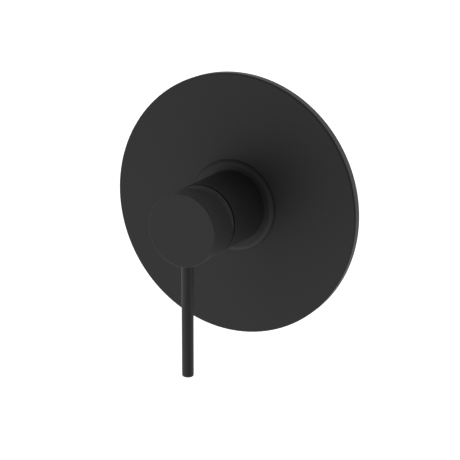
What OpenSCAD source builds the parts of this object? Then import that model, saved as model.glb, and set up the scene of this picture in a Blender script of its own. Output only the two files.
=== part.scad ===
// Concealed single-lever shower mixer with a round cover plate and a pin lever.
// The origin is on the finished wall, in the middle of the cover plate. +Z is up and the user stands at -Y.
// Names that end in _h are heights above the wall, counted towards the user, and negative behind the wall.

/* [Cover plate] */
// Outer diameter of the cover plate
plate_d = 170; // [150:5:210]
// Depth of the plate, from the wall to its face
plate_depth = 5.8; // [5.2:0.1:8]
// Thickness of the plate's sheet
plate_wall = 1.5; // [1.2:0.1:1.8]
// Rounding of the plate's outer edge
plate_edge_r = 0.9; // [0.6:0.1:3]
// Width of the foam gasket behind the rim
gasket_w = 9; // [6:0.5:16]

/* [Plate collar] */
// Outer diameter of the collar's flange
collar_d = 59.5; // [57:0.5:66]
// Height of the flange above the plate's face
collar_rise = 2.2; // [1.6:0.1:4]
// Rounding of the flange's top
collar_edge_r = 3.4; // [1:0.1:5]
// Height of the bevel under the flange's edge
collar_bevel = 0.7; // [0.2:0.1:1]
// Wall of the spigot that passes through the plate
spigot_wall = 2.9; // [2.8:0.1:3.4]
// Thickness of the lock ring behind the plate
lock_ring_t = 2.6; // [2:0.1:3]
// Width of the lock ring, from its thread to its edge
lock_ring_w = 4; // [3:0.5:8]
// Thickness of the O-ring in the collar
collar_ring_t = 1.8; // [1.6:0.1:2]

/* [Sleeve] */
// Outer diameter of the sleeve and of the hub
sleeve_d = 46; // [46:0.5:54]
// Wall of the sleeve
sleeve_wall = 1.5; // [1.2:0.1:1.6]
// Height of the sleeve's front edge above the wall
sleeve_front_h = 45.8; // [45:0.2:52]
// Length of the sleeve behind the wall
sleeve_tail = 12; // [8:0.5:30]
// Thickness of the O-rings between the sleeve and the chamber
sleeve_ring_t = 2; // [1.8:0.1:2.4]

/* [Dome ring] */
// Wall of the dome
dome_wall = 1.3; // [1:0.1:1.6]
// Height of the dome's edge above the sleeve's front
dome_rise = 1.3; // [1:0.1:1.6]
// Thickness of the dome's edge
dome_lip = 0.5; // [0.3:0.1:0.7]
// Distance from the sleeve's outside to the dome's edge
dome_step = 0.8; // [0.7:0.1:1.2]
// Wall of the threaded skirt under the dome
dome_skirt_wall = 1; // [0.8:0.1:1.3]
// Diameter of the hole in the dome
dome_hole_d = 31.8; // [31:0.2:34]

/* [Hub] */
// Length of the hub, from the groove to its face
hub_len = 24.2; // [22:0.2:40]
// Width of the groove between the sleeve and the hub
groove_w = 2.2; // [1.8:0.1:3]
// Rounding of the hub's front edge
hub_edge_r = 0.5; // [0.2:0.1:3]
// Gap between the cut face and the groove's edge with the lever fully lifted
cut_gap = 0.85; // [0.6:0.05:2]
// Diameter of the boss that holds the spindle
boss_d = 15; // [13:0.5:15.6]
// Distance of the grub screw from the hub's rear edge
grub_inset = 4.6; // [4:0.1:6]
// Thread diameter of the grub screw
grub_d = 5; // [4:0.5:5]

/* [Lever] */
// Diameter of the lever rod
lever_d = 7.4; // [6:0.1:9]
// Distance of the lever's tip from the sleeve's axis
lever_reach = 96; // [70:1:140]
// Distance of the lever's axis behind the hub's face
lever_inset = 7.2; // [6:0.2:8]
// Rounding of the lever's tip
lever_tip_r = 1.2; // [0.3:0.1:2.5]
// Length of the threaded tenon in the hub
tenon_len = 9; // [6:0.5:11]

/* [Motion] */
// Lift of the lever from closed to full flow, in degrees
lift_angle = 18; // [12:1:18]
// Turn of the lever from the middle to hot or cold, in degrees
turn_angle = 45; // [35:1:50]

/* [Cartridge] */
// Height of the cartridge's seat above the wall
seat_h = 8.3; // [7:0.1:9.5]
// Diameter of the cartridge
cartridge_d = 34.6; // [34.6:0.1:36]
// Thickness of the base
base_t = 4; // [3.6:0.1:4.6]
// Thickness of the base's foot that the housing stands on
base_foot_t = 1.6; // [1.4:0.1:1.8]
// Thickness of the fixed disc
fixed_disc_t = 3.5; // [3:0.1:4]
// Thickness of the moving disc
moving_disc_t = 3.3; // [3:0.1:4]
// Diameter of the moving disc
moving_disc_d = 22; // [21:0.2:22.4]
// Floor of the carrier below the spindle's foot
carrier_floor = 0.9; // [0.7:0.1:1.4]
// Diameter of the spindle's round foot
foot_d = 4.8; // [4.4:0.1:5.4]
// Distance from the middle of the foot to the pivot pin
foot_arm = 9.5; // [9:0.1:10]
// Width of the square spindle
spindle_w = 7; // [6.4:0.1:7.2]
// Diameter of the pivot pin
pin_d = 2.5; // [2:0.1:3]
// Diameter of the turning guide's neck
guide_d = 20.4; // [20:0.1:21]
// Thickness of the turning guide's flange
guide_flange_t = 2.4; // [2:0.1:3]
// Outer diameter of the housing's neck
neck_d = 25.6; // [25.4:0.1:26]
// Thickness of the housing's top, which the nut presses on
housing_top_t = 3.1; // [2.6:0.1:3.6]
// Diameter of the hot and cold ports
inlet_port_d = 5; // [4.4:0.1:5.2]
// Diameter of the mixed water port
outlet_port_d = 6.8; // [6:0.1:7]

/* [Cartridge nut] */
// Length of the nut's thread in the chamber
nut_thread_len = 9.2; // [8:0.1:10]
// Height of the nut's hexagon above the chamber
nut_hex_t = 5.5; // [4:0.1:5.8]
// Width of the hexagon across its flats
nut_hex_w = 33; // [32.4:0.1:33.4]

/* [Valve body] */
// Wall of the chamber round the cartridge
chamber_wall = 2.4; // [2.2:0.1:2.6]
// Distance from the sleeve's axis to the mouth of each socket
socket_reach = 38; // [36:0.5:50]
// Diameter inside each socket, for a G 1/2 thread
socket_bore_d = 20.8; // [18.6:0.1:21]
// Depth of the threaded part of each socket
socket_depth = 15; // [12:0.5:16]
// Wall of each socket
socket_wall = 2.6; // [2.2:0.1:3.4]
// Length of the hexagon at the mouth of each socket
socket_hex_len = 9; // [6:0.5:12]
// Diameter of the waterway behind each thread
waterway_d = 13; // [11:0.5:13]
// Diameter of the body's core between the sockets
core_d = 34; // [33:0.5:40]
// Distance from the sleeve's axis to each fixing lug, sideways
lug_x = 27; // [26:0.5:36]
// Distance from the sleeve's axis to each fixing lug, downwards
lug_drop = 24; // [23:0.5:34]
// Diameter of the screw hole in each lug
lug_hole_d = 5.5; // [4.5:0.1:6]
// Width of the rim round each screw hole
lug_rim = 4.2; // [3.4:0.1:6]
// Thickness of the lugs
lug_t = 5; // [4:0.5:8]

/* [Fits] */
// Clearance of each screwed, pushed or pressed fit, on the radius
push_fit = 0.02; // [0.01:0.01:0.04]
// Clearance of each turning or sliding fit, on the radius
running_fit = 0.05; // [0.04:0.01:0.08]
// Clearance of each loose fit, on the radius
loose_fit = 0.2; // [0.15:0.05:0.25]
// Gap between the dome and the hollow in the hub
dome_gap = 0.4; // [0.35:0.05:0.5]
// Film of water between the two ceramic discs
disc_film = 0.02; // [0.01:0.01:0.04]

/* [Hidden] */

$fn = 96;
// Small overlap that lets a cutting shape pass through a face
through = 1;

matt_black = [0.07, 0.07, 0.075];
raw_brass = [0.76, 0.62, 0.36];
bright_steel = [0.78, 0.79, 0.8];
black_rubber = [0.12, 0.12, 0.12];
grey_foam = [0.35, 0.35, 0.37];
white_plastic = [0.9, 0.9, 0.87];
grey_plastic = [0.55, 0.57, 0.6];
red_plastic = [0.75, 0.15, 0.12];
white_ceramic = [0.95, 0.94, 0.9];

// Cover plate and collar
plate_r = plate_d / 2;
plate_back_h = plate_depth - plate_wall;
bend_r = max(0.2, plate_edge_r - plate_wall);
gasket_r = plate_r - plate_wall - bend_r - loose_fit;
sleeve_r = sleeve_d / 2;
collar_bevel_top_h = plate_depth + collar_bevel;
collar_top_h = plate_depth + collar_rise;
collar_bore_r = sleeve_r + running_fit;
spigot_r = collar_bore_r + spigot_wall;
spigot_end_gap = 0.6;
spigot_end_h = plate_back_h - lock_ring_t - spigot_end_gap;
lock_notch_w = 4;
lock_notch_depth = 1.2;
// How far each O-ring is squeezed, and how much wider its groove is
ring_squeeze = 0.2;
groove_room = 0.5;
collar_groove_r = sleeve_r + collar_ring_t - ring_squeeze;
collar_groove_w = collar_ring_t + groove_room;
collar_groove_h = plate_depth - collar_groove_w / 2;

// Heights inside the cartridge, from the seat towards the user
base_foot_h = seat_h + base_foot_t;
base_top_h = seat_h + base_t;
fixed_top_h = base_top_h + fixed_disc_t;
moving_base_h = fixed_top_h + disc_film;
moving_top_h = moving_base_h + moving_disc_t;
socket_floor_h = moving_top_h + carrier_floor;
foot_r = foot_d / 2;
foot_h = socket_floor_h + 2 * running_fit + foot_r;
carrier_rim = 1.4;
carrier_step = 2.2;
carrier_top_h = foot_h + carrier_rim;
carrier_step_h = carrier_top_h - carrier_step;
pivot_h = foot_h + foot_arm;
guide_base_h = carrier_top_h + loose_fit;
rail_base_h = carrier_step_h + loose_fit;
guide_shoulder_h = guide_base_h + guide_flange_t;
housing_roof_h = guide_shoulder_h + running_fit;
shoulder_h = housing_roof_h + housing_top_t;
neck_rise = 7.8;
neck_top_h = pivot_h + neck_rise;
stop_base_h = neck_top_h + loose_fit;
guide_rise = 9.3;
guide_top_h = pivot_h + guide_rise;

// Radii inside the cartridge
housing_r = cartridge_d / 2;
slide_travel = foot_arm * sin(lift_angle);
moving_disc_r = moving_disc_d / 2;
cavity_r = moving_disc_r + slide_travel + loose_fit;
fixed_disc_r = cavity_r - running_fit;
base_spigot_wall = 1.3;
base_spigot_r = cavity_r + base_spigot_wall;
carrier_inset = 0.4;
carrier_r = moving_disc_r - carrier_inset;
carrier_lug_root = 0.5;
carrier_block_w = 11.8;
carrier_block_len = 15;
carrier_lug_w = 3;
carrier_lug_len = 2;
carrier_lug_depth = 1.6;
foot_neck_r = foot_r * 0.7;
guide_r = guide_d / 2;
guide_flange_r = cavity_r - loose_fit;
neck_bore_r = guide_r + running_fit;
neck_r = neck_d / 2;
slot_end_gap = 0.5;
slot_half_len = spindle_w / 2 / cos(lift_angle) + guide_rise * tan(lift_angle) + slot_end_gap;
slot_w = spindle_w + 2 * running_fit;
pin_r = pin_d / 2;
pin_end_gap = 0.3;
pin_half_len = guide_r - pin_end_gap;
guide_ring_t = 1.5;
guide_groove_r = guide_r - guide_ring_t + ring_squeeze;
guide_groove_drop = 3.4;
guide_groove_h = pivot_h - guide_groove_drop;
guide_groove_w = guide_ring_t + groove_room;

// Water ports of the cartridge, as seen from the user: hot at the lower left, cold at the lower right
inlet_port_r = inlet_port_d / 2;
outlet_port_r = outlet_port_d / 2;
inlet_circle_r = 7.6;
inlet_spread = 40;
outlet_offset = 6.6;
ports = [
    [inlet_circle_r * sin(-inlet_spread), -inlet_circle_r * cos(inlet_spread), inlet_port_r],
    [inlet_circle_r * sin(inlet_spread), -inlet_circle_r * cos(inlet_spread), inlet_port_r],
    [0, outlet_offset, outlet_port_r]
];
port_seal_w = 1.7;
port_seal_t = 1.3;
pocket_depth = 1.8;
pocket_main_r = 5;
pocket_main_y = 2.4;
pocket_lobe_r = 2.6;
pocket_lobe_y = -2.2;
peg_x = 12.4;
peg_y = 6.6;
peg_r = 1.9;
peg_len = 2.6;
snap_w = 5;
snap_t = 1.2;
snap_proud = 1;
snap_rise = 0.7;
snap_h = base_foot_h + snap_rise;
housing_edge_r = 0.5;

// Temperature stop
stop_wall = 1.9;
stop_bore_r = neck_r + push_fit;
stop_r = stop_bore_r + stop_wall;
stop_len = 5.6;
finger_gap = 0.4;
stop_lip_r = guide_r + finger_gap;
finger_half_angle = 12;
finger_r = neck_r - finger_gap;
stop_slack = 1;
spline_count = 24;
spline_size = 0.8;
spline_root = 0.4;

// Nut, chamber and dome
bore_r = housing_r + loose_fit;
chamber_r = bore_r + chamber_wall;
nut_step = 1;
nut_r = bore_r + nut_step;
thread_r = nut_r + push_fit;
thread_runout = 1.5;
thread_start_h = shoulder_h - thread_runout;
chamber_front_h = shoulder_h + nut_thread_len;
nut_top_h = chamber_front_h + nut_hex_t;
nut_web_t = 3;
nut_web_r = neck_r + loose_fit;
nut_bore_gap = 0.5;
nut_bore_r = stop_r + nut_bore_gap;
nut_chamfer = 0.4;
sleeve_in_r = sleeve_r - sleeve_wall;
land_r = sleeve_in_r - loose_fit;
land_top_h = 18;
sleeve_rings_h = [-3, 12];
sleeve_groove_r = sleeve_in_r - sleeve_ring_t + ring_squeeze;
sleeve_groove_w = sleeve_ring_t + groove_room;
sleeve_edge_r = 0.3;
dome_edge_h = sleeve_front_h + dome_rise;
dome_lip_h = dome_edge_h - dome_lip;
dome_edge_r = sleeve_r - dome_step;
dome_r = norm([dome_edge_r, dome_edge_h - pivot_h]);
dome_hole_r = dome_hole_d / 2;
skirt_bore_r = chamber_r + push_fit;
skirt_r = skirt_bore_r + dome_skirt_wall;
skirt_len = 5;
skirt_base_h = chamber_front_h - skirt_len;

// Hub and spindle
hub_rear_h = sleeve_front_h + groove_w;
hub_face_h = hub_rear_h + hub_len;
hollow_r = dome_r + dome_gap;
cut_slack = 0.7;
cut_angle = lift_angle + cut_slack;
cut_rise = hub_rear_h - pivot_h + cut_gap;
boss_r = boss_d / 2;
boss_rise = 13;
boss_base_h = pivot_h + boss_rise;
grub_r = grub_d / 2;
grub_h = hub_rear_h + grub_inset;
grub_tip_y = -spindle_w / 2 - push_fit;
grub_proud = 0.4;
grub_len = boss_r - spindle_w / 2 + grub_proud;
grub_point = 1;
grub_chamfer = 0.3;
grub_socket_w = 2.5;
grub_socket_depth = 2;
spindle_over = 3;
spindle_top_h = grub_h + spindle_over;
spindle_top_gap = 0.4;
socket_top_h = spindle_top_h + spindle_top_gap;
spindle_chamfer = 0.8;
shank_drop = 6;
shank_base_h = pivot_h - shank_drop;
lever_h = hub_face_h - lever_inset;
lever_r = lever_d / 2;
tenon_step = 0.5;
tenon_r = lever_r - tenon_step;
tenon_end_gap = 0.3;
seat_depth = 2;

// Valve body behind the wall
stop_flange_t = 3;
socket_bore_r = socket_bore_d / 2;
socket_r = socket_bore_r + socket_wall;
socket_hex_step = 0.5;
socket_flat_r = socket_r + socket_hex_step;
socket_chamfer = 0.8;
sleeve_end_h = -sleeve_tail;
socket_gap = 1;
port_h = sleeve_end_h - socket_r - socket_gap;
body_back_h = port_h - socket_flat_r;
core_r = core_d / 2;
core_edge_r = 3;
chamber_chamfer = 0.5;
waterway_r = waterway_d / 2;
waterway_end = [4.5, 4.5, 8.2];
lug_arm_share = 0.8;
lug_r = lug_hole_d / 2 + lug_rim;
socket_turns = [[0, -90, 0], [0, 90, 0], [-90, -90, 0]];

// Turns a shape drawn with its axis upwards so that the axis points from the wall to the user
module from_wall() {
    rotate([90, 0, 0])
        children();
}

// Ring of any section round the sleeve's axis, drawn with x as radius and y as height
module turned() {
    from_wall()
        rotate_extrude()
            children();
}

// Rectangle between two radii and two heights
module band(r_in, r_out, h_low, h_high) {
    translate([r_in, h_low])
        square([r_out - r_in, h_high - h_low]);
}

// Section of an O-ring squeezed between two walls
module ring_section(t, r_in, r_out, h) {
    intersection() {
        translate([(r_in + r_out) / 2, h])
            circle(d = t);
        band(r_in, r_out, h - t, h + t);
    }
}

// Section of a disc from its axis to r, whose upper outer corner is rounded.
// A rounding larger than the disc's thickness ends at its lower face, and the disc has no upright edge.
module rounded_disc(r, h_low, h_high, edge_r) {
    drop = min(edge_r, h_high - h_low);
    middle_r = r - sqrt(edge_r ^ 2 - (edge_r - drop) ^ 2);
    intersection() {
        band(0, r, h_low, h_high);
        union() {
            band(0, middle_r, h_low, h_high);
            translate([middle_r, h_high - edge_r])
                circle(edge_r);
            if (edge_r == drop)
                band(0, r, h_low, h_high - edge_r);
        }
    }
}

module cover_plate() {
    color(matt_black)
        turned()
            difference() {
                rounded_disc(plate_r, 0, plate_depth, plate_edge_r);
                rounded_disc(plate_r - plate_wall, -through, plate_back_h, bend_r);
                band(-through, spigot_r + loose_fit, -through, plate_depth + through);
            }
}

module wall_gasket() {
    color(grey_foam)
        turned()
            band(gasket_r - gasket_w, gasket_r, 0, plate_back_h);
}

// Flanged bush. The bevel under the flange's edge leaves a dark line round its foot.
module plate_collar() {
    flange_r = collar_d / 2;
    color(matt_black)
        turned()
            difference() {
                union() {
                    rounded_disc(flange_r, collar_bevel_top_h, collar_top_h, collar_edge_r);
                    polygon([
                        [0, plate_depth],
                        [flange_r - collar_bevel, plate_depth],
                        [flange_r, collar_bevel_top_h],
                        [0, collar_bevel_top_h]
                    ]);
                    band(0, spigot_r, spigot_end_h, plate_depth);
                }
                band(-through, collar_bore_r, spigot_end_h - through, collar_top_h + through);
                band(0, collar_groove_r, collar_groove_h - collar_groove_w / 2,
                    collar_groove_h + collar_groove_w / 2);
            }
}

module collar_lock_ring() {
    ring_in_r = spigot_r + push_fit;
    ring_out_r = ring_in_r + lock_ring_w;
    color(bright_steel)
        from_wall()
            difference() {
                rotate_extrude()
                    band(ring_in_r, ring_out_r, plate_back_h - lock_ring_t, plate_back_h);
                for (turn = [45:90:315])
                    rotate([0, 0, turn])
                        translate([ring_out_r - lock_notch_depth, -lock_notch_w / 2, 0])
                            cube([2 * lock_ring_w, lock_notch_w, plate_back_h + through]);
            }
}

module collar_o_ring() {
    color(black_rubber)
        turned()
            ring_section(collar_ring_t, sleeve_r, collar_groove_r, collar_groove_h);
}

module sleeve() {
    color(matt_black)
        turned()
            difference() {
                rounded_disc(sleeve_r, sleeve_end_h, sleeve_front_h, sleeve_edge_r);
                band(-through, sleeve_in_r, sleeve_end_h - through, sleeve_front_h + through);
            }
}

module sleeve_o_rings() {
    color(black_rubber)
        turned()
            for (h = sleeve_rings_h)
                ring_section(sleeve_ring_t, sleeve_groove_r, sleeve_in_r, h);
}

// Half section of the spherical shell round the pivot
module dome_section() {
    intersection() {
        translate([0, pivot_h])
            difference() {
                circle(dome_r);
                circle(dome_r - dome_wall);
            }
        band(dome_hole_r, dome_edge_r, dome_lip_h, pivot_h + 2 * dome_r);
    }
}

module dome_ring() {
    color(matt_black)
        turned()
            difference() {
                union() {
                    dome_section();
                    band(skirt_bore_r, skirt_r, skirt_base_h, dome_edge_h);
                }
                difference() {
                    band(0, 2 * dome_r, dome_lip_h, 3 * dome_r);
                    translate([0, pivot_h])
                        circle(dome_r);
                }
            }
}

// Section of the body's chamber and core, from the rear face to the chamber's mouth
module chamber_section() {
    flange_r = sleeve_r;
    flange_low_h = sleeve_end_h - stop_flange_t;
    translate([core_r - core_edge_r, body_back_h + core_edge_r])
        circle(core_edge_r);
    polygon([
        [0, body_back_h],
        [core_r - core_edge_r, body_back_h],
        [core_r, body_back_h + core_edge_r],
        [core_r, flange_low_h - (flange_r - core_r)],
        [flange_r, flange_low_h],
        [flange_r, sleeve_end_h],
        [land_r, sleeve_end_h],
        [land_r, land_top_h],
        [chamber_r, land_top_h + land_r - chamber_r],
        [chamber_r, chamber_front_h - chamber_chamfer],
        [chamber_r - chamber_chamfer, chamber_front_h],
        [0, chamber_front_h]
    ]);
}

module at_sockets() {
    for (turn = socket_turns)
        translate([0, 0, port_h])
            rotate(turn)
                children();
}

// Hexagon whose upper corners are turned down to its flats
module turned_hexagon(flat_r, h, chamfer) {
    intersection() {
        cylinder(r = flat_r / cos(30), h = h, $fn = 6);
        cylinder(r1 = flat_r - chamfer + 2 * h, r2 = flat_r - chamfer, h = h);
    }
}

// Round socket with a hexagon at its mouth
module socket_outside() {
    cylinder(r = socket_r, h = socket_reach - socket_hex_len / 2);
    translate([0, 0, socket_reach - socket_hex_len])
        rotate([0, 0, 30])
            turned_hexagon(socket_flat_r, socket_hex_len, socket_chamfer);
}

module socket_inside(end) {
    translate([0, 0, socket_reach - socket_depth])
        cylinder(r = socket_bore_r, h = socket_depth + through);
    translate([0, 0, end])
        cylinder(r = waterway_r, h = socket_reach - end);
}

module at_lugs() {
    for (side = [-1, 1])
        translate([side * lug_x, -lug_drop, body_back_h])
            children();
}

// Flat arms from the core to the screw holes
module fixing_lugs() {
    for (side = [-1, 1])
        translate([0, 0, body_back_h])
            linear_extrude(lug_t)
                union() {
                    translate([side * lug_x, -lug_drop])
                        circle(lug_r);
                    rotate([0, 0, atan2(-lug_drop, side * lug_x)])
                        translate([0, -lug_r * lug_arm_share])
                            square([norm([lug_x, lug_drop]), 2 * lug_r * lug_arm_share]);
                }
}

module valve_body() {
    color(raw_brass)
        from_wall()
            difference() {
                union() {
                    rotate_extrude()
                        difference() {
                            chamber_section();
                            for (h = sleeve_rings_h)
                                band(sleeve_groove_r, sleeve_r + through, h - sleeve_groove_w / 2,
                                    h + sleeve_groove_w / 2);
                        }
                    at_sockets()
                        socket_outside();
                    fixing_lugs();
                }
                translate([0, 0, seat_h])
                    cylinder(r = bore_r, h = chamber_front_h);
                translate([0, 0, thread_start_h])
                    cylinder(r = thread_r, h = chamber_front_h);
                for (i = [0:2])
                    translate([0, 0, port_h])
                        rotate(socket_turns[i])
                            socket_inside(waterway_end[i]);
                for (port = ports)
                    translate([port[0], port[1], port_h])
                        cylinder(r = port[2], h = seat_h - port_h + through);
                for (side = [-1, 1])
                    translate([side * peg_x, peg_y, seat_h - peg_len - loose_fit])
                        cylinder(r = peg_r + loose_fit, h = peg_len + through);
                at_lugs()
                    translate([0, 0, -through])
                        cylinder(d = lug_hole_d, h = lug_t + 2 * through);
            }
}

module cartridge_nut() {
    color(raw_brass)
        from_wall()
            difference() {
                union() {
                    translate([0, 0, shoulder_h])
                        cylinder(r = nut_r, h = nut_thread_len);
                    translate([0, 0, chamber_front_h])
                        turned_hexagon(nut_hex_w / 2, nut_hex_t, nut_chamfer);
                }
                translate([0, 0, shoulder_h - through])
                    cylinder(r = nut_web_r, h = nut_web_t + 2 * through);
                translate([0, 0, shoulder_h + nut_web_t])
                    cylinder(r = nut_bore_r, h = nut_thread_len + nut_hex_t);
            }
}

// Small teeth round the housing's neck, which the temperature stop is pushed over
module neck_splines(grow) {
    for (i = [0:spline_count - 1])
        rotate([0, 0, (i + 0.5) * 360 / spline_count])
            translate([neck_r - spline_root, -spline_size / 2 - grow, neck_top_h - stop_len])
                cube([spline_root + spline_size / 2 + grow, spline_size + 2 * grow, stop_len]);
}

module cartridge_housing() {
    color(white_plastic)
        from_wall()
            difference() {
                union() {
                    rotate_extrude()
                        difference() {
                            union() {
                                rounded_disc(housing_r, base_foot_h, shoulder_h, housing_edge_r);
                                band(0, neck_r, shoulder_h, neck_top_h);
                            }
                            band(-through, neck_bore_r, base_foot_h, neck_top_h + through);
                            band(0, cavity_r, base_foot_h, housing_roof_h);
                            band(0, base_spigot_r + running_fit, base_foot_h - through,
                                base_top_h + running_fit);
                        }
                    neck_splines(0);
                }
                for (side = [-1, 1])
                    translate([side * housing_r, 0, snap_h + snap_t / 2])
                        cube([4 * snap_proud, snap_w + 2 * loose_fit, snap_t + 2 * loose_fit], center = true);
            }
}

module cartridge_base() {
    color(grey_plastic)
        from_wall()
            difference() {
                union() {
                    translate([0, 0, seat_h])
                        cylinder(r = housing_r, h = base_foot_t);
                    translate([0, 0, seat_h])
                        cylinder(r = base_spigot_r, h = base_t);
                    for (side = [-1, 1]) {
                        translate([side * peg_x, peg_y, seat_h - peg_len])
                            cylinder(r = peg_r, h = peg_len + base_foot_t / 2);
                        translate([side * base_spigot_r, 0, snap_h + snap_t / 2])
                            cube([2 * snap_proud, snap_w, snap_t], center = true);
                    }
                }
                for (port = ports)
                    translate([port[0], port[1], 0]) {
                        translate([0, 0, seat_h - through])
                            cylinder(r = port[2], h = base_t + 2 * through);
                        translate([0, 0, seat_h - through])
                            cylinder(r = port[2] + port_seal_w, h = port_seal_t + through);
                        translate([0, 0, base_top_h - port_seal_t])
                            cylinder(r = port[2] + port_seal_w, h = port_seal_t + through);
                    }
            }
}

// Three flat rings in the recesses round the ports
module port_seals(low_h) {
    for (port = ports)
        translate([port[0], port[1], 0])
            rotate_extrude()
                band(port[2] + loose_fit, port[2] + port_seal_w - push_fit, low_h, low_h + port_seal_t);
}

module base_seals() {
    color(black_rubber)
        from_wall()
            port_seals(seat_h);
}

module disc_seals() {
    color(black_rubber)
        from_wall()
            port_seals(base_top_h - port_seal_t);
}

module fixed_disc() {
    color(white_ceramic)
        from_wall()
            difference() {
                translate([0, 0, base_top_h])
                    cylinder(r = fixed_disc_r, h = fixed_disc_t);
                for (port = ports)
                    translate([port[0], port[1], base_top_h - through])
                        cylinder(r = port[2], h = fixed_disc_t + 2 * through);
            }
}

module temperature_stop() {
    free_angle = turn_angle + finger_half_angle + stop_slack;
    color(red_plastic)
        from_wall()
            difference() {
                union() {
                    rotate_extrude()
                        band(stop_bore_r, stop_r, neck_top_h - stop_len, guide_top_h);
                    rotate_extrude(angle = 360 - 2 * free_angle, start = 90 + free_angle)
                        band(stop_lip_r, stop_r, stop_base_h, guide_top_h);
                }
                neck_splines(push_fit);
            }
}

module turning_guide() {
    color(grey_plastic)
        from_wall()
            difference() {
                union() {
                    rotate_extrude()
                        difference() {
                            union() {
                                band(0, guide_flange_r, guide_base_h, guide_shoulder_h);
                                band(0, guide_r, guide_base_h, guide_top_h);
                            }
                            band(guide_groove_r, guide_r + through, guide_groove_h - guide_groove_w / 2,
                                guide_groove_h + guide_groove_w / 2);
                        }
                    difference() {
                        translate([0, 0, rail_base_h])
                            cylinder(r = guide_flange_r, h = guide_base_h - rail_base_h);
                        cube([carrier_block_w + 2 * running_fit, 4 * cavity_r, 4 * guide_top_h],
                            center = true);
                    }
                    rotate_extrude(angle = 2 * finger_half_angle, start = 90 - finger_half_angle)
                        band(guide_groove_r, finger_r, stop_base_h, guide_top_h);
                }
                translate([-slot_w / 2, -slot_half_len, guide_base_h - through])
                    cube([slot_w, 2 * slot_half_len, guide_top_h]);
                translate([0, 0, pivot_h])
                    rotate([0, 90, 0])
                        cylinder(r = pin_r + push_fit, h = 4 * guide_r, center = true);
            }
}

module guide_o_ring() {
    color(black_rubber)
        turned()
            ring_section(guide_ring_t, guide_groove_r, guide_r + push_fit, guide_groove_h);
}

module pivot_pin() {
    color(bright_steel)
        from_wall()
            translate([0, 0, pivot_h])
                rotate([0, 90, 0])
                    cylinder(r = pin_r, h = 2 * pin_half_len, center = true);
}

// Hollow under the moving disc: a round chamber with a lobe that reaches for the hot and cold ports
module mixing_pocket() {
    translate([0, pocket_main_y])
        circle(pocket_main_r);
    translate([0, pocket_lobe_y])
        circle(pocket_lobe_r);
}

// The two driving lugs of the carrier, or the notches for them with a clearance
module driving_lugs(gap) {
    for (side = [-1, 1])
        translate([side * (moving_disc_r - carrier_lug_len / 2), 0, moving_top_h - carrier_lug_depth / 2])
            cube([carrier_lug_len + 2 * gap, carrier_lug_w + 2 * gap, carrier_lug_depth + 2 * gap],
                center = true);
}

module moving_disc() {
    color(white_ceramic)
        from_wall()
            difference() {
                translate([0, 0, moving_base_h])
                    cylinder(r = moving_disc_r, h = moving_disc_t);
                translate([0, 0, moving_base_h - through])
                    linear_extrude(pocket_depth + through)
                        mixing_pocket();
                driving_lugs(running_fit);
            }
}

module disc_carrier() {
    color(white_plastic)
        from_wall()
            difference() {
                union() {
                    translate([0, 0, moving_top_h])
                        cylinder(r = carrier_r, h = carrier_step_h - moving_top_h);
                    translate([0, 0, carrier_step_h - carrier_lug_root])
                        translate([-carrier_block_w / 2, -carrier_block_len / 2, 0])
                            cube([carrier_block_w, carrier_block_len, carrier_step + carrier_lug_root]);
                    intersection() {
                        translate([0, 0, carrier_lug_root])
                            driving_lugs(0);
                        cylinder(r = carrier_r, h = carrier_top_h);
                    }
                }
                translate([0, 0, socket_floor_h])
                    cylinder(r = foot_r + running_fit, h = carrier_top_h);
            }
}

module spindle() {
    color(raw_brass)
        from_wall()
            difference() {
                union() {
                    intersection() {
                        translate([-spindle_w / 2, -spindle_w / 2, shank_base_h])
                            cube([spindle_w, spindle_w, spindle_top_h - shank_base_h]);
                        rotate_extrude()
                            polygon([
                                [0, shank_base_h],
                                [foot_neck_r, shank_base_h],
                                [spindle_w, shank_base_h + spindle_w - foot_neck_r],
                                [spindle_w, spindle_top_h - spindle_w + spindle_w / 2 - spindle_chamfer],
                                [spindle_w / 2 - spindle_chamfer, spindle_top_h],
                                [0, spindle_top_h]
                            ]);
                    }
                    translate([0, 0, foot_h])
                        cylinder(r = foot_neck_r, h = shank_base_h - foot_h + foot_neck_r);
                    translate([0, 0, foot_h])
                        sphere(r = foot_r);
                }
                translate([0, 0, pivot_h])
                    rotate([0, 90, 0])
                        cylinder(r = pin_r + running_fit, h = 2 * spindle_w, center = true);
            }
}

// Drum with a spherical hollow behind, cut back obliquely above the sleeve
module hub_shell() {
    difference() {
        rotate_extrude()
            rounded_disc(sleeve_r, hub_rear_h, hub_face_h, hub_edge_r);
        translate([0, 0, pivot_h])
            sphere(r = hollow_r);
        translate([0, 0, pivot_h])
            rotate([cut_angle, 0, 0])
                translate([-2 * sleeve_r, -3 * sleeve_r, cut_rise - 4 * sleeve_r])
                    cube([4 * sleeve_r, 6 * sleeve_r, 4 * sleeve_r]);
    }
}

module hub() {
    color(matt_black)
        from_wall()
            difference() {
                union() {
                    hub_shell();
                    translate([0, 0, boss_base_h])
                        cylinder(r = boss_r, h = pivot_h + hollow_r - boss_base_h);
                }
                translate([-spindle_w / 2 - push_fit, -spindle_w / 2 - push_fit, boss_base_h - through])
                    cube([spindle_w + 2 * push_fit, spindle_w + 2 * push_fit,
                        socket_top_h - boss_base_h + through]);
                translate([0, 0, grub_h])
                    rotate([90, 0, 0])
                        cylinder(r = grub_r + push_fit, h = 2 * sleeve_r);
                translate([0, 0, lever_h])
                    rotate([90, 0, 0]) {
                        translate([0, 0, sleeve_r - seat_depth - tenon_len])
                            cylinder(r = tenon_r + push_fit, h = tenon_len + seat_depth);
                        translate([0, 0, sleeve_r - seat_depth])
                            cylinder(r = lever_r + push_fit, h = 2 * seat_depth);
                    }
            }
}

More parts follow.
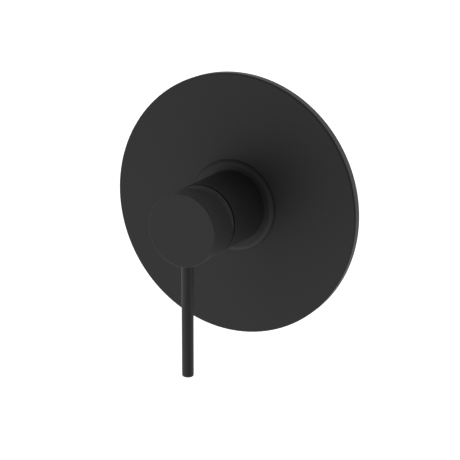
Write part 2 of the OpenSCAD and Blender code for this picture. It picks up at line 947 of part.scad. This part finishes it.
module grub_screw() {
    color(bright_steel)
        from_wall()
            translate([0, grub_tip_y, grub_h])
                rotate([90, 0, 0])
                    difference() {
                        rotate_extrude()
                            polygon([
                                [0, 0],
                                [grub_r - grub_point, 0],
                                [grub_r, grub_point],
                                [grub_r, grub_len - grub_chamfer],
                                [grub_r - grub_chamfer, grub_len],
                                [0, grub_len]
                            ]);
                        translate([0, 0, grub_len - grub_socket_depth])
                            cylinder(r = grub_socket_w / 2 / cos(30), h = grub_socket_depth + through,
                                $fn = 6);
                    }
}

module lever_rod() {
    color(matt_black)
        from_wall()
            translate([0, 0, lever_h])
                rotate([90, 0, 0])
                    rotate_extrude()
                        union() {
                            band(0, tenon_r, sleeve_r - seat_depth - tenon_len + tenon_end_gap, sleeve_r);
                            rounded_disc(lever_r, sleeve_r - seat_depth, lever_reach, lever_tip_r);
                        }
}

cover_plate();
wall_gasket();
plate_collar();
collar_lock_ring();
collar_o_ring();
sleeve();
sleeve_o_rings();
dome_ring();
valve_body();
cartridge_nut();
cartridge_housing();
cartridge_base();
base_seals();
disc_seals();
fixed_disc();
temperature_stop();
turning_guide();
guide_o_ring();
pivot_pin();
moving_disc();
disc_carrier();
spindle();
hub();
grub_screw();
lever_rod();
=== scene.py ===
import math

import bmesh
import bpy
from mathutils import Matrix, Vector


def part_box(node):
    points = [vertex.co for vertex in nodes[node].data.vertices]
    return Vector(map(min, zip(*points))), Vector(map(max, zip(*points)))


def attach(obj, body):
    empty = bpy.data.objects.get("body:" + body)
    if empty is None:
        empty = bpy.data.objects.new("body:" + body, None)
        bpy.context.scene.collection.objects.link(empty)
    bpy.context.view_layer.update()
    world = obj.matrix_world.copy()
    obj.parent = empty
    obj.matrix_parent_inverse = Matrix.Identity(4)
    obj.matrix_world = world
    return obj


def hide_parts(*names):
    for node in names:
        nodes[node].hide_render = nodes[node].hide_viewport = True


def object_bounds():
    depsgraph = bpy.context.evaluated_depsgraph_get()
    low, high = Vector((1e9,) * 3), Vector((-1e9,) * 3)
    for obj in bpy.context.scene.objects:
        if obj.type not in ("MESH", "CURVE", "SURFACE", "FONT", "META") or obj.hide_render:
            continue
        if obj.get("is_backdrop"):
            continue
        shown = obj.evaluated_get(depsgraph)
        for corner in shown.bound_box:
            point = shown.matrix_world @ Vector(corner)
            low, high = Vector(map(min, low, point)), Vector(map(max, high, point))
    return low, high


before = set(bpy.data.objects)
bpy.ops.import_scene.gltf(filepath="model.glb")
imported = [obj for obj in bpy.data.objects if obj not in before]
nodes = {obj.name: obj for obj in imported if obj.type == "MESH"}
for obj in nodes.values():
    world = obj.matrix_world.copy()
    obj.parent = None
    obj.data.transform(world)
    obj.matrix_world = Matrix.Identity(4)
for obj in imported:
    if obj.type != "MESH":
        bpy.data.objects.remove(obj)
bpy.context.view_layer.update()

# The camera stands in front of the wall, a little to the right of the mixer and above it, about a metre
# away. It looks slightly past the middle of the cover plate, as the photograph is framed.
camera_azimuth = math.radians(27.773)
camera_elevation = math.radians(16.282)
camera_roll = math.radians(0.173)
camera_distance = 0.9659
camera_shift_right = -0.00439
camera_shift_up = -0.01733
picture_width = 460
focal_length_in_pixels = 1506.5
film_width = 36
back = Vector((
    math.sin(camera_azimuth) * math.cos(camera_elevation),
    -math.cos(camera_azimuth) * math.cos(camera_elevation),
    math.sin(camera_elevation),
))
right = Vector((math.cos(camera_azimuth), math.sin(camera_azimuth), 0))
up = back.cross(right)
camera_data = bpy.data.cameras.new("camera")
camera_data.sensor_width = film_width
camera_data.lens = focal_length_in_pixels / picture_width * film_width
camera = bpy.data.objects.new("camera", camera_data)
bpy.context.scene.collection.objects.link(camera)
turned = Matrix((right, up, back)).transposed().to_4x4()
camera.matrix_world = (
    Matrix.Translation(camera_shift_right * right + camera_shift_up * up + camera_distance * back)
    @ turned
    @ Matrix.Rotation(camera_roll, 4, "Z")
)
bpy.context.scene.camera = camera

# The studio is one large soft light all round. It is brighter behind the mixer, low and to the left. A
# broad band adds light from the front, lower left, and from behind, upper right, so that the black coating
# shows wide and dim reflections. Behind everything the camera sees plain white.
middle_light = 0.475
light_fade = (-0.144, 0.261, -0.32)
light_band = (0.309, 0.448, 0.432)
white_glow = 1.1
pure_white = (1, 1, 1, 1)


def place(tree, kind, inputs=None, **settings):
    """Adds a node to a tree. Each input gets a value, or the output of another node that feeds it."""
    node = tree.nodes.new(kind)
    for name, value in settings.items():
        setattr(node, name, value)
    for name, value in (inputs or {}).items():
        if isinstance(value, bpy.types.NodeSocket):
            tree.links.new(value, node.inputs[name])
        else:
            node.inputs[name].default_value = value
    return node


bpy.context.scene.view_settings.view_transform = "Standard"
world = bpy.data.worlds.new("studio")
bpy.context.scene.world = world
world.use_nodes = True
air = world.node_tree
air.nodes.clear()
direction = place(air, "ShaderNodeTexCoord").outputs["Generated"]
fade = place(air, "ShaderNodeVectorMath", {0: direction, 1: light_fade}, operation="DOT_PRODUCT")
band = place(air, "ShaderNodeVectorMath", {0: direction, 1: light_band}, operation="DOT_PRODUCT")
fade, band = fade.outputs["Value"], band.outputs["Value"]
faded = place(air, "ShaderNodeMath", {0: fade, 1: middle_light}, operation="ADD").outputs[0]
strength = place(air, "ShaderNodeMath", {0: band, 1: band, 2: faded}, operation="MULTIPLY_ADD").outputs[0]
soft_light = place(air, "ShaderNodeBackground", {"Color": pure_white, "Strength": strength})
plain_white = place(air, "ShaderNodeBackground", {"Color": pure_white, "Strength": white_glow})
seen = place(air, "ShaderNodeLightPath").outputs["Is Camera Ray"]
sky = place(air, "ShaderNodeMixShader", {0: seen, 1: soft_light.outputs[0], 2: plain_white.outputs[0]})
place(air, "ShaderNodeOutputWorld", {"Surface": sky.outputs[0]})

# The floor is a wide pale disc, as far below the mixer as the floor of a shower is. It is the plain white
# ground of the picture, and neither throws light back on the coating nor takes any from it.
floor_radius = 16
floor_drop = 1.1
floor_sides = 96
floor_grey = (0.8, 0.8, 0.8, 1)
floor_glow = 0.9
floor_shape = bmesh.new()
bmesh.ops.create_circle(floor_shape, cap_ends=True, segments=floor_sides, radius=floor_radius)
bmesh.ops.translate(floor_shape, verts=floor_shape.verts, vec=(0, 0, -floor_drop))
floor_mesh = bpy.data.meshes.new("floor")
floor_shape.to_mesh(floor_mesh)
floor_shape.free()
floor = bpy.data.objects.new("floor", floor_mesh)
floor.visible_glossy = False
floor.visible_diffuse = False
floor.visible_shadow = False
bpy.context.scene.collection.objects.link(floor)
pale = bpy.data.materials.new("pale_floor")
pale.use_nodes = True
pale_shader = pale.node_tree.nodes["Principled BSDF"]
pale_shader.inputs["Base Color"].default_value = floor_grey
pale_shader.inputs["Roughness"].default_value = 1
pale_shader.inputs["Emission Color"].default_value = pure_white
pale_shader.inputs["Emission Strength"].default_value = floor_glow
floor_mesh.materials.append(pale)
floor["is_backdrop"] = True

# The valve body is one brass casting. Core, sockets and fixing lugs keep the grey-gold skin of the mould,
# with a faint seam where its halves met. The chamber that carries the sleeve, the stop flange, the hexagons
# at the socket mouths and all bores are turned or drilled, and shine.
body_port_y = 0.026
body_turned_to_y = 0.0152
socket_bore_radius = 0.0104
socket_corner_radius = 0.0157
socket_hexagon_start = 0.029
waterway_start = 0.0042
cast_colours = ((0.42, 0.29, 0.13, 1), (0.60, 0.44, 0.21, 1))
cut_colours = ((0.70, 0.53, 0.26, 1), (0.84, 0.66, 0.36, 1))
cast_roughness = (0.46, 0.62)
cut_roughness = (0.2, 0.32)
cast_grain = 0.0005
cast_patch = 0.007
cast_relief = 0.00006
cut_mark = 0.00016
cut_relief = 0.0000025
grain_detail = 3
patch_detail = 2
mark_detail = 1
seam_half_width = 0.00022
seam_relief = 0.00009


def start_group(name, inputs, outputs):
    """Makes an empty shader group, and returns it with its inputs and its output sockets."""
    group = bpy.data.node_groups.new(name, "ShaderNodeTree")
    for label, kind in inputs.items():
        group.interface.new_socket(label, in_out="INPUT", socket_type=kind)
    for label in outputs:
        group.interface.new_socket(label, in_out="OUTPUT", socket_type="NodeSocketFloat")
    return group, place(group, "NodeGroupInput").outputs, place(group, "NodeGroupOutput").inputs


def calculate(tree, operation, *values):
    """Returns the output of a Math node that works on up to three values."""
    return place(tree, "ShaderNodeMath", dict(enumerate(values)), operation=operation).outputs[0]


def blend_values(tree, kind, share, first, second):
    """Returns a mix of two numbers, vectors or colours. A share of 1 gives the second."""
    first_input, second_input, output = {"FLOAT": (2, 3, 0), "VECTOR": (4, 5, 1), "RGBA": (6, 7, 2)}[kind]
    inputs = {0: share, first_input: first, second_input: second}
    return place(tree, "ShaderNodeMix", inputs, data_type=kind).outputs[output]


def start_material(name, metallic=0):
    """Makes a material and returns it with its tree, its shader and the coordinates on the piece."""
    material = bpy.data.materials.new(name)
    material.use_nodes = True
    tree = material.node_tree
    shader = tree.nodes["Principled BSDF"]
    shader.inputs["Metallic"].default_value = metallic
    return material, tree, shader, place(tree, "ShaderNodeTexCoord").outputs["Object"]


def connect(tree, shader, colour, roughness, height, relief=1):
    """Feeds a shader's colour and roughness, and raises its surface by a height times the relief."""
    bump = place(tree, "ShaderNodeBump", {"Height": height, "Distance": relief})
    tree.links.new(colour, shader.inputs["Base Color"])
    tree.links.new(roughness, shader.inputs["Roughness"])
    tree.links.new(bump.outputs[0], shader.inputs["Normal"])


def give_finish(material, *names):
    """Gives a material to nodes of the part."""
    for name in names:
        nodes[name].data.materials.clear()
        nodes[name].data.materials.append(material)


# Grain and patches are two noises in the surface, both from 0 to 1. Grain is its fine unevenness, and
# patches are its slow changes of tone.
grain_group, grain_in, grain_out = start_group(
    "surface_grain",
    {"Vector": "NodeSocketVector", "Grain Scale": "NodeSocketFloat", "Patch Scale": "NodeSocketFloat"},
    ("Grain", "Patches"),
)
for output, scale, detail in (("Grain", "Grain Scale", grain_detail),
                              ("Patches", "Patch Scale", patch_detail)):
    noise = place(grain_group, "ShaderNodeTexNoise",
                  {"Vector": grain_in["Vector"], "Scale": grain_in[scale], "Detail": detail})
    grain_group.links.new(noise.outputs[0], grain_out[output])


def distance_from_axis(tree, parts):
    """Returns how far a place is from the Y axis."""
    squares = [calculate(tree, "MULTIPLY", parts[name], parts[name]) for name in ("X", "Z")]
    return calculate(tree, "SQRT", calculate(tree, "ADD", *squares))


# Turning marks run round the Y axis. The tool leaves one fine groove for each turn, on ends and sides
# alike, and no two grooves are equally deep.
marks_group, marks_in, marks_out = start_group(
    "turning_marks", {"Vector": "NodeSocketVector", "Marks Scale": "NodeSocketFloat"}, ("Marks",))
parts = place(marks_group, "ShaderNodeSeparateXYZ", {0: marks_in["Vector"]}).outputs
along = calculate(marks_group, "ADD", distance_from_axis(marks_group, parts), parts["Y"])
line = place(marks_group, "ShaderNodeCombineXYZ", {0: along})
feed_lines = place(marks_group, "ShaderNodeTexNoise",
                   {"Vector": line.outputs[0], "Scale": marks_in["Marks Scale"], "Detail": mark_detail})
marks_group.links.new(feed_lines.outputs[0], marks_out["Marks"])

# A tube zone is the mask of a bore or a turned end. It is 1 within a radius of the Y axis and past a start
# along it, and 0 elsewhere.
zone_group, zone_in, zone_out = start_group(
    "tube_zone",
    {"Vector": "NodeSocketVector", "Radius": "NodeSocketFloat", "Start": "NodeSocketFloat"}, ("Mask",))
parts = place(zone_group, "ShaderNodeSeparateXYZ", {0: zone_in["Vector"]}).outputs
near_axis = calculate(zone_group, "LESS_THAN", distance_from_axis(zone_group, parts), zone_in["Radius"])
past_start = calculate(zone_group, "GREATER_THAN", parts["Y"], zone_in["Start"])
zone_group.links.new(calculate(zone_group, "MULTIPLY", near_axis, past_start), zone_out["Mask"])

body_brass, tree, shader, spot = start_material("cast_and_turned_brass", metallic=1)
parts = place(tree, "ShaderNodeSeparateXYZ", {0: spot}).outputs
from_ports = calculate(tree, "SUBTRACT", parts["Y"], body_port_y)
sideways = calculate(tree, "ABSOLUTE", parts["X"])
at_side = place(tree, "ShaderNodeCombineXYZ", {0: from_ports, 1: sideways, 2: parts["Z"]}).outputs[0]
at_top = place(tree, "ShaderNodeCombineXYZ", {0: from_ports, 1: parts["Z"], 2: parts["X"]}).outputs[0]
# The chamber is turned about the Y axis. Each socket's bore and hexagon are cut about the socket's own axis.
cut = calculate(tree, "LESS_THAN", parts["Y"], body_turned_to_y)
turned_about = spot
for socket_spot in (at_side, at_top):
    for radius, start in ((socket_bore_radius, waterway_start), (socket_corner_radius, socket_hexagon_start)):
        zone = place(tree, "ShaderNodeGroup", {"Vector": socket_spot, "Radius": radius, "Start": start},
                     node_tree=zone_group)
        cut = calculate(tree, "MAXIMUM", cut, zone.outputs["Mask"])
        turned_about = blend_values(tree, "VECTOR", zone.outputs["Mask"], turned_about, socket_spot)
grain = place(tree, "ShaderNodeGroup", {"Vector": spot, "Grain Scale": 1 / cast_grain,
                                        "Patch Scale": 1 / cast_patch}, node_tree=grain_group)
marks = place(tree, "ShaderNodeGroup", {"Vector": turned_about, "Marks Scale": 1 / cut_mark},
              node_tree=marks_group)
cast_tone = blend_values(tree, "RGBA", grain.outputs["Patches"], *cast_colours)
cut_tone = blend_values(tree, "RGBA", marks.outputs["Marks"], *cut_colours)
cast_rough = blend_values(tree, "FLOAT", grain.outputs["Grain"], *cast_roughness)
cut_rough = blend_values(tree, "FLOAT", marks.outputs["Marks"], *cut_roughness)
seam = calculate(tree, "LESS_THAN", calculate(tree, "ABSOLUTE", from_ports), seam_half_width)
cast_height = calculate(tree, "MULTIPLY_ADD", grain.outputs["Grain"], cast_relief,
                        calculate(tree, "MULTIPLY", seam, seam_relief))
cut_height = calculate(tree, "MULTIPLY", marks.outputs["Marks"], cut_relief)
height = blend_values(tree, "FLOAT", cut, cast_height, cut_height)
connect(tree, shader, blend_values(tree, "RGBA", cut, cast_tone, cut_tone),
        blend_values(tree, "FLOAT", cut, cast_rough, cut_rough), height)
give_finish(body_brass, "valve_body")

# Each socket has an internal G 1/2 pipe thread, cut with a tap. It starts just inside the mouth and runs out
# towards the waterway. Its crests stand in from the wall of the bore, and the tap's marks run round the
# socket's own axis.
thread_pitch = 0.001814
thread_depth = 0.00105
thread_root = 0.00003
thread_base_width = 0.00158
thread_crest_width = 0.0003
thread_steps = 56
thread_ends = (0.0243, 0.0369)
thread_runout = 0.0016
thread_least_share = 0.02
quarter_turn = math.radians(90)
# Each socket has the turn that lays its thread along it, and the turn that lays its axis on Y for the marks.
sockets = {
    "hot": (Matrix.Rotation(-quarter_turn, 4, "Y"), (0, 0, quarter_turn)),
    "cold": (Matrix.Rotation(quarter_turn, 4, "Y"), (0, 0, quarter_turn)),
    "outlet": (Matrix.Identity(4), (-quarter_turn, 0, 0)),
}


def machined(name, colours, roughness, mark, relief, middle=(0, 0, 0), axis_turn=(0, 0, 0)):
    """Makes a metal finish with tool marks round an axis: the Y axis through a middle, turned as given."""
    material, tree, shader, spot = start_material(name, metallic=1)
    centred = place(tree, "ShaderNodeVectorMath", {0: spot, 1: middle}, operation="SUBTRACT").outputs[0]
    turned = place(tree, "ShaderNodeMapping", {"Vector": centred, "Rotation": axis_turn}).outputs[0]
    marks = place(tree, "ShaderNodeGroup", {"Vector": turned, "Marks Scale": 1 / mark}, node_tree=marks_group)
    marks = marks.outputs["Marks"]
    connect(tree, shader, blend_values(tree, "RGBA", marks, *colours),
            blend_values(tree, "FLOAT", marks, *roughness), marks, relief)
    return material


def add_piece(name, shape, material, body):
    """Turns a bmesh into a piece of the scene that rides on a body."""
    mesh = bpy.data.meshes.new(name)
    shape.to_mesh(mesh)
    shape.free()
    mesh.materials.append(material)
    piece = bpy.data.objects.new(name, mesh)
    bpy.context.scene.collection.objects.link(piece)
    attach(piece, body)
    return piece


def only(kind, geometry):
    """Picks the corners, edges or faces out of what an operator returns."""
    return [item for item in geometry if isinstance(item, kind)]


def wind(shape, corners, closed, turns, pitch, steps_per_turn):
    """Winds corners, given as radius and height, up the Z axis. Returns the first and the last edges."""
    verts = [shape.verts.new((radius, 0, height)) for radius, height in corners]
    pairs = list(zip(verts, verts[1:])) + ([(verts[-1], verts[0])] if closed else [])
    first = [shape.edges.new(pair) for pair in pairs]
    steps = round(turns * steps_per_turn)
    wound = bmesh.ops.spin(shape, geom=first, cent=(0, 0, 0), axis=(0, 0, 1), angle=turns * 2 * math.pi,
                           dvec=(0, 0, turns * pitch / steps), steps=steps)
    return first, only(bmesh.types.BMEdge, wound["geom_last"])


def set_radius(vert, wanted):
    """Moves a corner straight towards or away from the Z axis."""
    share = wanted / math.hypot(vert.co.x, vert.co.y)
    vert.co.x *= share
    vert.co.y *= share


# The thread is a bar wound up the bore. Its crest sinks back into the wall at both ends.
root = socket_bore_radius + thread_root
crest = socket_bore_radius - thread_depth
start, end = thread_ends
base_half = thread_base_width / 2
crest_half = thread_crest_width / 2
section = ((root, start - base_half), (crest, start - crest_half), (crest, start + crest_half),
           (root, start + base_half))
for side, (turn, axis_turn) in sockets.items():
    shape = bmesh.new()
    for ring in wind(shape, section, True, (end - start) / thread_pitch, thread_pitch, thread_steps):
        bmesh.ops.contextual_create(shape, geom=ring)
    for vert in shape.verts:
        if math.hypot(vert.co.x, vert.co.y) < (root + crest) / 2:
            share = min(1, (vert.co.z - start) / thread_runout, (end - vert.co.z) / thread_runout)
            set_radius(vert, root - (root - crest) * max(thread_least_share, share))
    bmesh.ops.recalc_face_normals(shape, faces=shape.faces)
    bmesh.ops.transform(shape, verts=shape.verts, matrix=Matrix.Translation((0, body_port_y, 0)) @ turn)
    thread_brass = machined(f"{side}_thread_brass", cut_colours, cut_roughness, cut_mark, cut_relief,
                            (0, body_port_y, 0), axis_turn)
    add_piece(f"{side}_thread", shape, thread_brass, "fixed")

# The cartridge nut is turned from brass bar and its hexagon is milled. It is screwed into the chamber's
# mouth and presses the cartridge on its seat. It has the same bright finish as the bores.
nut_brass = machined("turned_brass", cut_colours, cut_roughness, cut_mark, cut_relief)
give_finish(nut_brass, "cartridge_nut")

# The spindle is a piece of drawn square brass bar with a ball turned on its foot. Its flats carry long,
# faint draw lines. The hub is clamped on its upper end, and the pivot pin passes through it lower down.
draw_line_size = 0.00035
draw_line_stretch = 0.03
draw_relief = 0.000002
drawn_brass, tree, shader, spot = start_material("drawn_brass", metallic=1)
stretched = place(tree, "ShaderNodeMapping", {"Vector": spot, "Scale": (1, draw_line_stretch, 1)}).outputs[0]
lines = place(tree, "ShaderNodeTexNoise", {"Vector": stretched, "Scale": 1 / draw_line_size}).outputs[0]
connect(tree, shader, blend_values(tree, "RGBA", lines, *cut_colours),
        blend_values(tree, "FLOAT", lines, *cut_roughness), lines, draw_relief)
give_finish(drawn_brass, "spindle")

# The cartridge's plastic pieces are moulded: white housing and disc carrier, grey base and turning guide,
# and a red stop that limits how hot the water can be set. The moulded skin is fine and even, with faint
# flow patches.
plastic_grain = 0.00018
plastic_patch = 0.006
plastic_relief = 0.0000035
plastics = {
    "white_plastic": (((0.72, 0.72, 0.68, 1), (0.84, 0.84, 0.80, 1)), (0.36, 0.46),
                      ("cartridge_housing", "disc_carrier")),
    "grey_plastic": (((0.235, 0.25, 0.275, 1), (0.29, 0.31, 0.335, 1)), (0.34, 0.44),
                     ("cartridge_base", "turning_guide")),
    "red_plastic": (((0.47, 0.02, 0.015, 1), (0.58, 0.035, 0.025, 1)), (0.3, 0.4), ("temperature_stop",)),
}


def grained(name, colours, roughness, grain_size, patch_size, relief):
    """Makes a dull finish whose grain is its relief and whose tone changes slowly in patches."""
    material, tree, shader, spot = start_material(name)
    pattern = place(tree, "ShaderNodeGroup", {"Vector": spot, "Grain Scale": 1 / grain_size,
                                              "Patch Scale": 1 / patch_size}, node_tree=grain_group)
    grain = pattern.outputs["Grain"]
    connect(tree, shader, blend_values(tree, "RGBA", pattern.outputs["Patches"], *colours),
            blend_values(tree, "FLOAT", grain, *roughness), grain, relief)
    return material


for name, (colours, roughness, pieces) in plastics.items():
    plastic = grained(name, colours, roughness, plastic_grain, plastic_patch, plastic_relief)
    give_finish(plastic, *pieces)

# The two discs are fired alumina. Their flat faces are lapped almost to a mirror, so that they seal on each
# other with a film of water, and their rims keep the dull surface of the kiln.
ceramic_colours = ((0.76, 0.745, 0.69, 1), (0.87, 0.86, 0.81, 1))
ceramic_speck = 0.00012
ceramic_patch = 0.004
lapped_roughness = 0.09
fired_roughness = 0.48
fired_relief = 0.000006
rim_depth = 0.00008
all_along = -1
for name in ("fixed_disc", "moving_disc"):
    low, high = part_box(name)
    ceramic, tree, shader, spot = start_material(f"{name}_ceramic")
    face_radius = (high.x - low.x) / 2 - rim_depth
    face = place(tree, "ShaderNodeGroup", {"Vector": spot, "Radius": face_radius, "Start": all_along},
                 node_tree=zone_group).outputs["Mask"]
    grain = place(tree, "ShaderNodeGroup", {"Vector": spot, "Grain Scale": 1 / ceramic_speck,
                                            "Patch Scale": 1 / ceramic_patch}, node_tree=grain_group)
    rim = calculate(tree, "SUBTRACT", 1, face)
    connect(tree, shader, blend_values(tree, "RGBA", grain.outputs["Patches"], *ceramic_colours),
            blend_values(tree, "FLOAT", face, fired_roughness, lapped_roughness),
            calculate(tree, "MULTIPLY", grain.outputs["Grain"], rim), fired_relief)
    give_finish(ceramic, name)

# The O-rings and the port seals are moulded rubber, pressed between the pieces that they seal. They are
# matt, with a light bloom in patches.
rubber_colours = ((0.012, 0.012, 0.012, 1), (0.026, 0.026, 0.027, 1))
rubber_roughness = (0.5, 0.68)
rubber_grain = 0.00012
rubber_patch = 0.003
rubber_relief = 0.000004
rubber = grained("moulded_rubber", rubber_colours, rubber_roughness, rubber_grain, rubber_patch,
                 rubber_relief)
give_finish(rubber, "collar_o_ring", "sleeve_o_rings", "base_seals", "disc_seals", "guide_o_ring")

# The collar's lock ring and the pivot pin are stainless steel. The ring is turned about the mixer's own
# axis and screwed on the collar behind the plate. The pin is ground, and lies across the mixer through
# guide and spindle.
steel_colours = ((0.40, 0.405, 0.415, 1), (0.60, 0.605, 0.62, 1))
steel_roughness = (0.22, 0.34)
steel_mark = 0.00012
steel_relief = 0.0000018
low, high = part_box("pivot_pin")
ring_steel = machined("turned_steel", steel_colours, steel_roughness, steel_mark, steel_relief)
pin_steel = machined("ground_steel", steel_colours, steel_roughness, steel_mark, steel_relief,
                     (low + high) / 2, (0, 0, quarter_turn))
give_finish(ring_steel, "collar_lock_ring")
give_finish(pin_steel, "pivot_pin")

# The grub screw is an M5 set screw of stainless steel, with a rolled thread, a cone point and a hexagon
# socket. It is driven up from under the hub through the boss, and its point clamps the hub on the spindle.
screw_pitch = 0.0008
screw_thread_depth = 0.00049
screw_crest_width = 0.0001
screw_root_width = 0.0002
screw_steps = 48
screw_spare_turns = 2
screw_clear = 0.000004
screw_chamfer = 0.0003
screw_point = 0.001
screw_socket_width = 0.0025
screw_socket_depth = 0.002
screw_socket_cone = 0.0005
hexagon_sides = 6
merge_distance = 0.000001
low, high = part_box("grub_screw")
screw_radius = (high.x - low.x) / 2
screw_length = high.z - low.z
screw_middle = (low + high) / 2
root = screw_radius - screw_thread_depth
flank = (screw_pitch - screw_crest_width - screw_root_width) / 2
start = -screw_pitch - screw_clear
section = ((screw_radius, start), (screw_radius, start + screw_crest_width),
           (root, start + screw_crest_width + flank), (root, start + screw_pitch - flank),
           (screw_radius, start + screw_pitch))
# The thread is wound along Z, longer than the screw, and cut square at both ends. Then a chamfer takes it
# down at the socket, and a cone at the point.
shape = bmesh.new()
turns = math.ceil(screw_length / screw_pitch) + screw_spare_turns
wind(shape, section, False, turns, screw_pitch, screw_steps)
bmesh.ops.remove_doubles(shape, verts=shape.verts, dist=merge_distance)
ends = []
for height, outwards in ((0, -1), (screw_length, 1)):
    cut = bmesh.ops.bisect_plane(shape, geom=shape.verts[:] + shape.edges[:] + shape.faces[:],
                                 plane_co=(0, 0, height), plane_no=(0, 0, outwards), clear_outer=True)
    ends.append(only(bmesh.types.BMEdge, cut["geom_cut"]))
socket_end, point_end = ends
for vert in shape.verts:
    at_socket = screw_radius - screw_chamfer + vert.co.z
    at_point = screw_radius - screw_point + screw_length - vert.co.z
    set_radius(vert, min(math.hypot(vert.co.x, vert.co.y), at_socket, at_point))
bmesh.ops.contextual_create(shape, geom=point_end)
# The hexagon socket is sunk into its end, with the cone of the drill at its bottom.
socket_corner = screw_socket_width / 2 / math.cos(math.pi / hexagon_sides)
hexagon = bmesh.ops.create_circle(shape, segments=hexagon_sides, radius=socket_corner)["verts"]
mouth = list({edge for vert in hexagon for edge in vert.link_edges})
bmesh.ops.triangle_fill(shape, edges=socket_end + mouth, use_beauty=True, normal=(0, 0, -1))
walls = bmesh.ops.extrude_edge_only(shape, edges=mouth)["geom"]
bottom = only(bmesh.types.BMVert, walls)
bmesh.ops.translate(shape, verts=bottom, vec=(0, 0, screw_socket_depth))
bottom_edges = [edge for edge in only(bmesh.types.BMEdge, walls) if set(edge.verts) <= set(bottom)]
drilled = bmesh.ops.contextual_create(shape, geom=bottom_edges)["faces"]
drill_tip = bmesh.ops.poke(shape, faces=drilled)["verts"]
bmesh.ops.translate(shape, verts=drill_tip, vec=(0, 0, screw_socket_cone))
bmesh.ops.recalc_face_normals(shape, faces=shape.faces)
bmesh.ops.translate(shape, verts=shape.verts, vec=(screw_middle.x, screw_middle.y, low.z))
screw_steel = machined("rolled_steel", steel_colours, steel_roughness, steel_mark, steel_relief,
                       screw_middle, (-quarter_turn, 0, 0))
threaded_screw = add_piece("threaded_grub_screw", shape, screw_steel, "handle")
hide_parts("grub_screw")

# The wall gasket is a ring cut from a sheet of closed-cell foam and glued inside the plate's rim. Its cut
# sides and its face show the opened cells, with thin raised walls between hollows, and the hollows are
# painted darker as painted shade.
foam_cell = 0.0007
foam_wall_share = 0.35
foam_wall_and_painted_shade_colours = ((0.03, 0.03, 0.033, 1), (0.085, 0.085, 0.09, 1))
foam_roughness = (0.95, 0.85)
foam_relief = 0.00018
foam, tree, shader, spot = start_material("closed_cell_foam_with_painted_shade")
from_wall = place(tree, "ShaderNodeTexVoronoi", {"Vector": spot, "Scale": 1 / foam_cell},
                  feature="DISTANCE_TO_EDGE").outputs["Distance"]
cell_wall_and_painted_shade = place(tree, "ShaderNodeMapRange", {"Value": from_wall, "From Max": foam_wall_share,
                                               "To Min": 1, "To Max": 0}).outputs[0]
# The cell hollows take the darker colour as painted shade, and the walls take the lighter one.
connect(tree, shader, blend_values(tree, "RGBA", cell_wall_and_painted_shade, *foam_wall_and_painted_shade_colours),
        blend_values(tree, "FLOAT", cell_wall_and_painted_shade, *foam_roughness), cell_wall_and_painted_shade, foam_relief)
give_finish(foam, "wall_gasket")

# Cover plate, collar, sleeve, hub and lever share one matt black coating, sprayed on brass and sheet steel
# and baked. It has a fine, even grain and hardly any change of tone from place to place.
coating_colours = ((0.0192, 0.0192, 0.0192, 1), (0.0209, 0.0209, 0.0209, 1))
coating_roughness = (0.505, 0.535)
coating_grain = 0.00028
coating_patch = 0.02
coating_relief = 0.00003
coating = grained("matt_black_coating", coating_colours, coating_roughness, coating_grain, coating_patch,
                  coating_relief)
give_finish(coating, "cover_plate", "plate_collar", "sleeve", "hub", "lever_rod")

# The dome ring is turned brass under the same matt black coating. Its coating is a lighter copy of the rest,
# as painted light:
# the extra lightness stands in for light that its ball face catches. Only its ball face shows, in the wedge
# gap between hub and sleeve.
dome_painted_light_colours = ((0.042, 0.042, 0.042, 1), (0.046, 0.046, 0.046, 1))
dome_painted_light_coating = grained("dome_painted_light_coating", dome_painted_light_colours, coating_roughness, coating_grain, coating_patch,
                       coating_relief)
give_finish(dome_painted_light_coating, "dome_ring")

# The box round everything that renders, with the floor left out, is measured on the finished model.
low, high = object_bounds()
